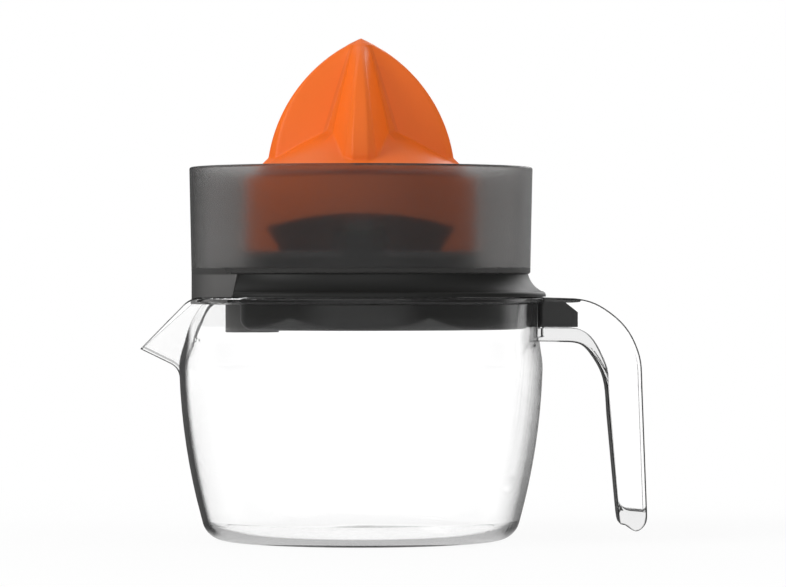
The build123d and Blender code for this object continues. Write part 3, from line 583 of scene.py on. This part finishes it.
@dataclass(frozen=True)
class TurnedMetal:
    """Bare metal with fine turning lines round the upright axis."""

    name: str
    colour: Colour
    gloss: float
    lines: float = 0.4 * MM
    line_share: float = 0.08
    line_depth: float = 0.01 * MM
    line_strength: float = 0.3
    patch_size: float = 5 * MM
    patch_share: float = 0.12
    patch_shade: float = 0.86

    def material(self) -> bpy.types.Material:
        """Builds the material.

        Returns:
            A metal with rings of fine lines and dull patches.
        """
        made = bpy.data.materials.new(self.name)
        graph = Graph(made)
        rings = graph.node(
            "ShaderNodeTexWave",
            {"wave_type": "BANDS", "bands_direction": "Z"},
            {"Vector": graph.place(), "Scale": 0.3 / self.lines, "Distortion": 2.0, "Detail": 3.0},
            "Fac",
        )
        patch = graph.noise(self.patch_size, 4.0, 0.6)
        uneven = self.patch_share * (patch - 0.5) + self.line_share * (rings - 0.5)
        surface = graph.node(
            "ShaderNodeBsdfPrincipled",
            None,
            {
                "Base Color": graph.blend(patch, shade(self.colour, self.patch_shade), self.colour),
                "Metallic": 1.0,
                "Roughness": self.gloss + uneven,
                "Normal": graph.bump(rings, self.line_depth, self.line_strength),
            },
        )
        graph.finish(surface)
        return made


class Finish(Enum):
    """The finishes that the juicer's pieces are made in."""

    CLEAR = ClearPlastic(
        "clear_plastic",
        tint=(0.99, 0.99, 0.99),
        absorbed=14.0,
        rim_tint=(0.03, 0.03, 0.03),
        rim_share=0.97,
        rim_facing=(0.66, 0.77),
        line_width=0.8 * MM,
        line_share=0.75,
        thin_beyond=77 * MM,
    )
    SMOKED = SmokedPlastic(
        "smoked_plastic",
        tint=(0.35, 0.346, 0.342),
        absorbed=0.0,
        rim_tint=(0.03, 0.03, 0.03),
        rim_share=0.8,
        rim_facing=(0.45, 0.86),
        haze=0.2,
        lamp_tint=(0.85, 0.85, 0.85),
    )
    DARK = MouldedPlastic("dark_plastic", (0.010, 0.010, 0.0095), 0.42, sheen=0.34)
    # valley_half turns on painted shade in each valley between the cone's fins
    ORANGE = MouldedPlastic(
        "orange_plastic", (0.93, 0.166, 0.011), 0.36, drift=0.025, glow=0.02, valley_half=0.17
    )
    BLACK = MouldedPlastic("black_plastic", (0.012, 0.012, 0.012), 0.5)
    NYLON = MouldedPlastic("nylon", (0.72, 0.70, 0.62), 0.45)
    RUBBER = MouldedPlastic("rubber", (0.02, 0.02, 0.02), 0.75, skin_depth=0.02 * MM)
    STEEL = TurnedMetal("steel", (0.56, 0.56, 0.57), 0.32)
    COPPER = TurnedMetal("copper", (0.80, 0.38, 0.22), 0.35, 0.5 * MM)
    BRONZE = TurnedMetal("bronze", (0.55, 0.36, 0.16), 0.45)
    MAGNET = MouldedPlastic("magnet", (0.05, 0.05, 0.055), 0.55)


class Palette:
    """The materials, each made once."""

    def __init__(self) -> None:
        """Starts with no material made."""
        self._made: Dict[Finish, bpy.types.Material] = {}

    def material(self, finish: Finish) -> bpy.types.Material:
        """The material of a finish.

        Args:
            finish: Which finish.

        Returns:
            Its material, the same one each time.
        """
        if finish not in self._made:
            self._made[finish] = finish.value.material()
        return self._made[finish]

    def dress(self, piece: bpy.types.Object, finish: Finish) -> None:
        """Gives a whole piece one finish.

        Args:
            piece: A CAD node's object or a new piece.
            finish: Which finish.
        """
        piece.data.materials.clear()
        piece.data.materials.append(self.material(finish))


@dataclass(frozen=True)
class Lamp:
    """One soft box: where it stands, its width and height in metres and its power in watts."""

    name: str
    place: Point
    size: Span
    power: float


@dataclass(frozen=True)
class Card:
    """A bright patch of the surroundings that only mirrored rays see."""

    toward: Point
    strength: float
    reach: float


@dataclass
class Studio:
    """Camera, pale floor, white surroundings and soft lamps."""

    eye: Point = (0.0128, -1.68, 0.1062)
    aim: Point = (0.0128, 0.0, 0.0982)
    lens: float = 192.4
    sensor: float = 36.0
    bounces: int = 24
    glass_bounces: int = 20
    floor_half: float = 6.0
    floor_sink: float = 0.2 * MM
    floor_dark: Colour = (0.93, 0.93, 0.93)
    floor_pale: Colour = (0.96, 0.96, 0.96)
    grain_size: float = 3 * MM
    ambient: float = 0.42
    wall_mirrored: float = 0.08
    back_mirrored: float = 0.12
    ceiling_mirrored: float = 0.3
    ceiling_height: Span = (0.45, 0.85)
    front_mirrored: float = 0.7
    front_depth: Span = (0.25, 0.8)
    front_height: Span = (0.15, 0.38)
    camera_mirrored: float = 0.25
    camera_depth: Span = (0.75, 0.97)
    left_mirrored: float = 2.4
    left_side: Span = (0.6, 0.72)
    left_depth: Span = (0.1, 0.25)
    left_height: Span = (0.12, 0.35)
    cards: Tuple[Card, ...] = (
        Card((0.36, 0.85, 0.385), 2.0, 0.95),
        Card((-0.47, 0.53, 0.705), 0.3, 0.9),
        Card((0.39, 0.92, 0.0), 0.4, 0.93),
    )
    card_full: float = 0.985
    world_behind: Span = (0.2, 0.5)
    floor_behind: Span = (0.1, 0.5)
    floor_faces: Span = (4.4, 4.6)
    glass_gain: float = 0.26
    floor_mirrored: float = 0.55
    ceiling_through: float = 0.12
    shadow_reach: float = 0.42
    shadow_share: float = 0.12
    lamps: Tuple[Lamp, ...] = (
        Lamp("key_lamp", (-1.45, -0.75, 1.0), (0.8, 0.8), 19.5),
        Lamp("fill_lamp", (1.25, -0.35, 0.45), (0.35, 0.9), 4.6),
        Lamp("back_lamp", (0.2, 1.1, 1.3), (1.2, 0.6), 6.0),
    )
    lamp_aim: Point = (0.0, 0.0, 0.11)

    def build(self) -> None:
        """Makes everything round the object."""
        self._camera()
        self._world()
        self._floor()
        for lamp in self.lamps:
            self._lamp(lamp)
        scene = bpy.context.scene
        scene.view_settings.view_transform = "Standard"
        scene.cycles.use_denoising = True
        scene.cycles.max_bounces = self.bounces
        scene.cycles.transmission_bounces = self.glass_bounces
        scene.cycles.transparent_max_bounces = self.bounces

    def _camera(self) -> None:
        """A long lens at the photograph's place, level with the bowl's foot."""
        data = bpy.data.cameras.new("camera")
        data.lens = self.lens
        data.sensor_width = self.sensor
        camera = bpy.data.objects.new("camera", data)
        bpy.context.scene.collection.objects.link(camera)
        camera.location = self.eye
        look = Vector(self.aim) - Vector(self.eye)
        camera.rotation_euler = look.to_track_quat("-Z", "Y").to_euler()
        bpy.context.scene.camera = camera

    def _rays(self, graph: Graph, away: Signal) -> Tuple[Signal, Signal, Signal]:
        """Masks of the rays that show the surroundings.

        A ray that was mirrored to the front stays a mirrored one after it has gone through glass.
        One that goes on to the back counts as through glass, and so does one that went through the
        jug's floor, which meets at least five faces.

        Args:
            graph: The graph of the floor or the world.
            away: 1 for what lies behind the object, 0 in front of it.

        Returns:
            The masks of straight rays, of mirrored ones and of those through glass.
        """
        ray = {
            name: graph.node("ShaderNodeLightPath", output=name)
            for name in (
                "Is Camera Ray",
                "Is Diffuse Ray",
                "Is Transmission Ray",
                "Glossy Depth",
                "Transmission Depth",
            )
        }
        away = away.larger(graph.step(ray["Transmission Depth"], *self.floor_faces))
        mirrored = ray["Glossy Depth"].smaller(1.0) * (1.0 - ray["Is Diffuse Ray"])
        mirrored = mirrored * (1.0 - ray["Is Transmission Ray"] * away)
        through = ray["Is Transmission Ray"] * (1.0 - mirrored)
        return ray["Is Camera Ray"], mirrored, through

    def _world(self) -> None:
        """White where it is seen, a plain soft light elsewhere.

        Mirrored rays meet dim walls, a pale ceiling, a bright front and left, and the cards. Rays
        through clear plastic meet white walls under a dim ceiling, which draws the edges of the jug.
        """
        world = bpy.data.worlds.new("studio")
        bpy.context.scene.world = world
        graph = Graph(world)
        direction = graph.node("ShaderNodeTexCoord", output="Generated")
        side, depth, height = (graph.part(direction, axis) for axis in range(3))
        ceiling = graph.step(height, *self.ceiling_height)
        front = graph.step(0.0 - depth, *self.front_depth) * graph.step(height, *self.front_height)
        mirrored = self.wall_mirrored + ceiling * self.ceiling_mirrored + front * self.front_mirrored
        mirrored = mirrored + depth.larger(0.0) * self.back_mirrored
        left = graph.step(0.0 - side, *self.left_side) * graph.step(0.0 - depth, *self.left_depth)
        left = left * graph.step(height, *self.left_height)
        mirrored = mirrored + left * self.left_mirrored
        mirrored = mirrored + graph.step(0.0 - depth, *self.camera_depth) * self.camera_mirrored
        for card in self.cards:
            toward = graph.vector("DOT_PRODUCT", {0: direction, 1: card.toward})
            mirrored = mirrored + graph.step(toward, card.reach, self.card_full) * card.strength
        through = 1.0 + self.glass_gain - ceiling * (1.0 - self.ceiling_through)
        straight, glossy, clear = self._rays(graph, graph.step(depth, *self.world_behind))
        rest = (1.0 - glossy) * (1.0 - clear) * (1.0 - straight)
        strength = straight + glossy * mirrored + clear * through + rest * self.ambient
        light = graph.node("ShaderNodeBackground", None, {"Color": WHITE, "Strength": strength})
        graph.node("ShaderNodeOutputWorld", None, {"Surface": light})

    def _floor(self) -> None:
        """A wide pale floor that keeps the object's shadow."""
        bpy.ops.object.select_all(action="DESELECT")
        bpy.ops.mesh.primitive_plane_add(size=2 * self.floor_half, location=(0, 0, -self.floor_sink))
        floor = bpy.context.object
        floor.name = "floor"
        material = bpy.data.materials.new("floor_paper")
        graph = Graph(material)
        grain = graph.blend(graph.noise(self.grain_size, 3.0), self.floor_dark, self.floor_pale)
        paper = graph.node("ShaderNodeBsdfDiffuse", None, {"Color": grain, "Roughness": 1.0})
        behind = graph.step(graph.part(graph.place(), 1), *self.floor_behind)
        straight, mirrored, clear = self._rays(graph, behind)
        strength = 1.0 + self.glass_gain * clear - (1.0 - self.floor_mirrored) * mirrored
        white = graph.node("ShaderNodeEmission", None, {"Color": WHITE, "Strength": strength})
        away = graph.vector("LENGTH", {0: graph.place()})
        fade = 1.0 - self.shadow_share * (1.0 - graph.step(away, 0.0, self.shadow_reach))
        share = straight.larger(mirrored).larger(clear) * fade
        graph.finish(graph.node("ShaderNodeMixShader", None, {0: share, 1: paper, 2: white}))
        floor.data.materials.append(material)

    def _lamp(self, lamp: Lamp) -> None:
        """Adds one soft box that points at the bowl.

        Args:
            lamp: Its place, size and power.
        """
        data = bpy.data.lights.new(lamp.name, "AREA")
        data.shape = "RECTANGLE"
        data.size, data.size_y = lamp.size
        data.energy = lamp.power
        made = bpy.data.objects.new(lamp.name, data)
        bpy.context.scene.collection.objects.link(made)
        made.location = lamp.place
        made.visible_glossy = False
        made.visible_transmission = False
        look = Vector(self.lamp_aim) - Vector(lamp.place)
        made.rotation_euler = look.to_track_quat("-Z", "Y").to_euler()


@dataclass
class Assembly:
    """A group of CAD nodes that share finishes."""

    finishes: Dict[str, Finish]

    def dress(self, nodes: Dict[str, bpy.types.Object], palette: Palette) -> None:
        """Gives each node its finish.

        Args:
            nodes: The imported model's objects by name.
            palette: Where the materials come from.
        """
        for name, finish in self.finishes.items():
            palette.dress(nodes[name], finish)
            LOG.info("%s: %s", name, finish.value.name)


def soft_min(first: float, second: float, reach: float) -> float:
    """The smaller of two numbers, with the corner between them rounded off.

    Args:
        first: One number.
        second: The other.
        reach: How far from the corner the rounding starts.

    Returns:
        The blended smaller number.
    """
    near = max(reach - abs(first - second), 0.0) / reach
    return min(first, second) - near * near * reach / 4


def soft_max(first: float, second: float, reach: float) -> float:
    """The larger of two numbers, with the corner between them filled out.

    Args:
        first: One number.
        second: The other.
        reach: How far from the corner the filling starts.

    Returns:
        The blended larger number.
    """
    return -soft_min(-first, -second, reach)


@dataclass
class Reamer:
    """The orange cone: four bevelled fins on a sloping floor, with a skirt and a hollow underside.

    Heights are above the skirt's lower edge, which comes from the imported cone.
    """

    columns: int = 416
    rows: int = 136
    tip: float = 53.8 * MM
    shoulder: float = 6.0 * MM
    fin_radius: float = 37.0 * MM
    mid_radius: float = 25.8 * MM
    mid_height: float = 33.2 * MM
    corner: float = 14.3 * MM
    corner_lean: float = 0.24
    crest_half: float = 5.4 * MM
    crest_taper: float = 0.103
    bevel_foot: float = 1.5 * MM
    bevel_tip: float = 0.4 * MM
    bevel_lean: float = 0.33
    bevel_power: float = 1.4
    bevel_round: float = 0.2 * MM
    strip_depth: float = 1.05 * MM
    strip_round: float = 0.08 * MM
    corner_least: float = 0.2
    crest_most: float = 0.16
    bevel_most: float = 0.1
    blunt: float = 0.5 * MM
    floor_peak: float = 27.6 * MM
    floor_fall: float = 0.645
    floor_round: float = 0.8 * MM
    skirt_radius: float = 42.0 * MM
    skirt_edge: float = 1.0 * MM
    skirt_wall: float = 1.6 * MM
    skirt_step: float = 0.5 * MM
    floor_wall: float = 2.6 * MM
    hollow: float = 36.0 * MM
    hub: float = 9.0 * MM
    hub_foot: float = -4.4 * MM
    socket_half: float = 5.1 * MM
    socket_top: float = 19.8 * MM
    row_power: float = 1.25
    crease: float = math.radians(32)

    def __post_init__(self) -> None:
        """Works out the arc of the fins' crest, through the shoulder, the middle and the tip."""
        (x1, z1), (x2, z2), (x3, z3) = (
            (self.fin_radius, self.shoulder),
            (self.mid_radius, self.mid_height),
            (0.0, self.tip),
        )
        twice = 2 * (x1 * (z2 - z3) + x2 * (z3 - z1) + x3 * (z1 - z2))
        s1, s2, s3 = (x * x + z * z for x, z in ((x1, z1), (x2, z2), (x3, z3)))
        self.arc_x = (s1 * (z2 - z3) + s2 * (z3 - z1) + s3 * (z1 - z2)) / twice
        self.arc_z = (s1 * (x3 - x2) + s2 * (x1 - x3) + s3 * (x2 - x1)) / twice
        self.arc_r = math.hypot(x1 - self.arc_x, z1 - self.arc_z)

    def crest(self, turn: float, height: float) -> float:
        """The fins' crest radius; the two side fins flare out at the foot.

        Args:
            turn: Angle round the axis.
            height: Above the skirt's lower edge.

        Returns:
            The distance of the crest from the axis.
        """
        if height <= self.shoulder:
            return self.fin_radius + max(0.0, math.cos(2 * turn)) * (self.shoulder - height)
        rise = height - self.arc_z
        return max(0.0, self.arc_x + math.sqrt(max(0.0, self.arc_r**2 - rise * rise)))

    def skin(self, turn: float, height: float) -> float:
        """The radius of the outer skin.

        Args:
            turn: Angle round the axis.
            height: Above the skirt's lower edge.

        Returns:
            The distance of the skin from the axis.
        """
        quarter = math.pi / 2
        angle = abs((turn + quarter / 2) % quarter - quarter / 2)
        up = height - self.shoulder
        crest = self.crest(turn, height)
        if crest < self.blunt:
            return crest
        corner = max(self.corner_least * crest, self.corner - self.corner_lean * up)
        half = min(self.crest_most * crest, self.crest_half - self.crest_taper * max(0.0, up))
        pull = (corner - half) / (math.sqrt(crest * crest - half * half) - corner)
        here = corner * (1 + pull) / (math.sin(angle) + pull * math.cos(angle))
        low = 1.0 - min(1.0, max(0.0, up / (self.tip - self.shoulder)))
        strip = (math.sqrt(2) * corner + self.strip_depth * low) / math.cos(quarter / 2 - angle)
        valley = soft_max(here, strip, self.strip_round)
        most = self.bevel_most * crest
        depth = self.bevel_tip + (self.bevel_foot - self.bevel_tip) * low**self.bevel_power
        bevel = crest - self.bevel_lean * (crest - valley) - min(most, depth)
        fin = soft_min(crest, valley, self.bevel_round)
        fin = soft_min(fin, bevel, min(most, self.bevel_round))
        floor = (self.floor_peak - height) / self.floor_fall
        body = soft_max(fin, floor, self.floor_round) if floor > 0 else fin
        return self.skirt_radius if height < self.skirt_edge else min(body, self.skirt_radius)

    def profile(self) -> List[Callable[[float], Tuple[float, float]]]:
        """The rows of the mesh, from the tip down the skin and up inside the hollow.

        Returns:
            Functions from an angle to a radius and a height.
        """

        def outer(height: float) -> Callable[[float], Tuple[float, float]]:
            return lambda turn: (self.skin(turn, height), height)

        def ring(radius: float, height: float) -> Callable[[float], Tuple[float, float]]:
            return lambda turn: (radius, height)

        def socket(height: float) -> Callable[[float], Tuple[float, float]]:
            sixth = math.pi / 3
            return lambda turn: (self.socket_half / math.cos(turn % sixth - sixth / 2), height)

        shares = [step / self.rows for step in range(self.rows + 1)]
        heights = [self.tip * (1 - share**self.row_power) for share in shares]
        inner = self.floor_peak - self.floor_wall
        skirt = self.skirt_radius - self.skirt_wall
        rows = [outer(height) for height in heights]
        rows += [ring(skirt, 0.0), ring(skirt, self.skirt_step)]
        rows += [ring(radius, inner - self.floor_fall * radius) for radius in (self.hollow, self.hub)]
        rows += [ring(self.hub, self.hub_foot), socket(self.hub_foot)]
        rows += [socket(self.socket_top), ring(0.0, self.socket_top)]
        return rows

    def build(self, base: float) -> bpy.types.Object:
        """Shapes a grid into the cone and closes it.

        Args:
            base: The height of the skirt's lower edge.

        Returns:
            The finished piece.
        """
        rows = self.profile()
        piece = add_grid("cone_skin", self.columns, len(rows) - 1)
        for vertex in piece.data.vertices:
            column = round((vertex.co.x + 0.5) * self.columns)
            row = round((0.5 - vertex.co.y) * (len(rows) - 1))
            turn = 2 * math.pi * column / self.columns
            radius, height = rows[row](turn)
            vertex.co = (radius * math.cos(turn), radius * math.sin(turn), base + height)
        close_mesh(piece, self.crease)
        return piece


@dataclass
class ChuteCheeks:
    """Thin walls that carry the chute's skin on to the collar's slanted ends, front and back."""

    radius: float = 67.66 * MM
    wall: float = 2.0 * MM
    root: float = -50.3 * MM
    end_top: float = -47.7 * MM
    end_low: float = -49.6 * MM
    top: float = 106.1 * MM
    low: float = 97.3 * MM
    edge: float = 0.12 * MM

    def build(self) -> bpy.types.Object:
        """Shapes a block into a wedge, rounds its edges and mirrors it to the back.

        Returns:
            The finished piece.
        """
        bpy.ops.object.select_all(action="DESELECT")
        bpy.ops.mesh.primitive_cube_add(size=2.0)
        piece = bpy.context.object
        piece.name = "chute_cheeks"
        piece.data.name = piece.name
        for vertex in piece.data.vertices:
            right, back, above = (value > 0 for value in vertex.co)
            end = self.end_top if above else self.end_low
            across = end if right else self.root
            ring = self.radius - self.wall if back else self.radius
            height = self.top if above else self.low
            vertex.co = (across, -math.sqrt(ring * ring - across * across), height)
        bpy.ops.object.mode_set(mode="EDIT")
        bpy.ops.mesh.select_all(action="SELECT")
        bpy.ops.mesh.bevel(offset=self.edge, segments=2, affect="EDGES")
        bpy.ops.object.mode_set(mode="OBJECT")
        mirror = piece.modifiers.new("back", "MIRROR")
        mirror.use_axis = (False, True, False)
        bpy.ops.object.modifier_apply(modifier=mirror.name)
        close_mesh(piece, CREASE)
        return piece


@dataclass
class ReturnSpring:
    """The coil under the drive shaft's collar, which shortens as the shaft is pressed."""

    mean_radius: float = 5.0 * MM
    wire: float = 0.8 * MM
    turns: float = 3.0
    travel: float = 1.0 * MM
    steps: int = 120
    sides: int = 12

    def build(self, low: float, high: float) -> bpy.types.Object:
        """Winds a grid into the coil.

        Args:
            low: The height of its foot.
            high: The height of its top.

        Returns:
            The finished piece.
        """
        rise = high - low - self.wire
        slope = math.atan2(rise, 2 * math.pi * self.turns * self.mean_radius)
        rows = self.steps + 2
        piece = add_grid("spring_coil", self.sides, rows)
        for vertex in piece.data.vertices:
            round_wire = 2 * math.pi * (vertex.co.x + 0.5)
            row = round((vertex.co.y + 0.5) * rows)
            share = min(1.0, max(0.0, (row - 1) / self.steps))
            thick = 0.0 if row in (0, rows) else self.wire / 2
            turn = 2 * math.pi * self.turns * share
            out = self.mean_radius + thick * math.cos(round_wire)
            lift = thick * math.sin(round_wire)
            lean = lift * math.sin(slope)
            vertex.co = (
                out * math.cos(turn) + lean * math.sin(turn),
                out * math.sin(turn) - lean * math.cos(turn),
                low + self.wire / 2 + rise * share + lift * math.cos(slope),
            )
        close_mesh(piece, CREASE)
        return piece

    def mount(self, palette: Palette) -> None:
        """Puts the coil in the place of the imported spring.

        Args:
            palette: The materials.
        """
        low, high = (corner[2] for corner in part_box("return_spring"))
        piece = self.build(low, high)
        palette.dress(piece, Finish.STEEL)
        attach(piece, "head")
        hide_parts("return_spring")
        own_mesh(piece)


def add_grid(name: str, columns: int, rows: int) -> bpy.types.Object:
    """Adds a flat unit grid as the start of a piece.

    Args:
        name: The piece's name.
        columns: Faces along X.
        rows: Faces along Y.

    Returns:
        The grid, centred on the origin.
    """
    bpy.ops.object.select_all(action="DESELECT")
    bpy.ops.mesh.primitive_grid_add(x_subdivisions=columns, y_subdivisions=rows, size=1.0)
    piece = bpy.context.object
    piece.name = name
    piece.data.name = name
    return piece


def close_mesh(piece: bpy.types.Object, crease: float) -> None:
    """Welds a piece's seams and poles, turns its faces outwards and smooths it.

    Args:
        piece: The piece, whose object is the active one.
        crease: The angle from which an edge stays sharp.
    """
    bpy.ops.object.mode_set(mode="EDIT")
    bpy.ops.mesh.select_all(action="SELECT")
    bpy.ops.mesh.remove_doubles(threshold=WELD)
    bpy.ops.mesh.dissolve_degenerate(threshold=SLIVER)
    bpy.ops.mesh.normals_make_consistent(inside=False)
    bpy.ops.object.mode_set(mode="OBJECT")
    bpy.ops.object.shade_smooth_by_angle(angle=crease)
    LOG.info("%s: %d faces", piece.name, len(piece.data.polygons))


def assemblies() -> Tuple[Assembly, ...]:
    """The juicer's sub-assemblies.

    Returns:
        The groups of nodes with their finishes.
    """
    vessel = Assembly({"jug": Finish.CLEAR, "juice_bowl": Finish.SMOKED})
    press = Assembly(
        {
            "strainer": Finish.ORANGE,
            "reamer_cone": Finish.ORANGE,
            "spindle_bush": Finish.NYLON,
            "spindle": Finish.NYLON,
            "spindle_clip": Finish.STEEL,
        }
    )
    head = Assembly(
        {
            "base_tray": Finish.DARK,
            "drive_cover": Finish.DARK,
            "cord_grommet": Finish.RUBBER,
            "terminal_block": Finish.NYLON,
            "switch_body": Finish.BLACK,
            "switch_plunger": Finish.NYLON,
            "roof_bush": Finish.NYLON,
            "shaft_seal": Finish.RUBBER,
            "housing_screws": Finish.STEEL,
        }
    )
    motor = Assembly(
        {
            "motor_pad": Finish.RUBBER,
            "motor_can": Finish.STEEL,
            "motor_plate": Finish.STEEL,
            "coil_bobbin": Finish.NYLON,
            "coil_winding": Finish.COPPER,
            "pole_ring": Finish.STEEL,
            "lower_bearing": Finish.BRONZE,
            "upper_bearing": Finish.BRONZE,
            "rotor_shaft": Finish.STEEL,
            "rotor_hub": Finish.NYLON,
            "rotor_magnet": Finish.MAGNET,
            "rotor_pinion": Finish.NYLON,
            "motor_screws": Finish.STEEL,
        }
    )
    drive = Assembly(
        {
            "output_gear": Finish.NYLON,
            "thrust_washer": Finish.NYLON,
            "drive_shaft": Finish.STEEL,
            "shaft_guide": Finish.NYLON,
            "guide_screws": Finish.STEEL,
            "return_spring": Finish.STEEL,
        }
    )
    return vessel, press, head, motor, drive


def main() -> None:
    """Loads the frame, dresses it and lights it."""
    logging.basicConfig(level=logging.INFO, format="%(name)s %(message)s")
    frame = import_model()
    palette = Palette()
    for assembly in assemblies():
        assembly.dress(frame["nodes"], palette)
    cone = Reamer().build(SKIRT_LOW)
    palette.dress(cone, Finish.ORANGE)
    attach(cone, "cone")
    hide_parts("reamer_cone")
    cheeks = ChuteCheeks().build()
    palette.dress(cheeks, Finish.SMOKED)
    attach(cheeks, "bowl")
    ReturnSpring().mount(palette)
    Studio().build()


if __name__ == "__main__":
    main()
